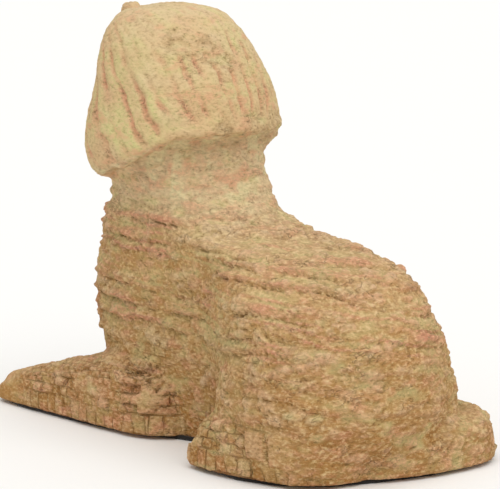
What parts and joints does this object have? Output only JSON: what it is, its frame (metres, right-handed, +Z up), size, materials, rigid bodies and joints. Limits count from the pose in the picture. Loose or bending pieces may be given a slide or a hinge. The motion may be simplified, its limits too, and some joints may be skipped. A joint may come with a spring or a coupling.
{
  "type": "sphinx statue",
  "caption": "Small cast stone souvenir of a reclining sphinx in a ribbed headcloth, on a thin black felt pad.",
  "frame": {"origin": "in the plane of the felt's underside, in the middle of the object's box", "axes": "+Z up, the figure looks along -Y, and its left side is +X"},
  "size_m": [0.0748, 0.1436, 0.115],
  "materials": {
    "cast_stone": "matt stone powder and resin casting, dry-brushed pink on the ridges and pale green-yellow in the hollows",
    "black_felt": "thin pressed felt"
  },
  "bodies": {
    "root": {"sphinx_figure": "cast_stone", "felt_pad": "black_felt"}
  },
  "joints": []
}
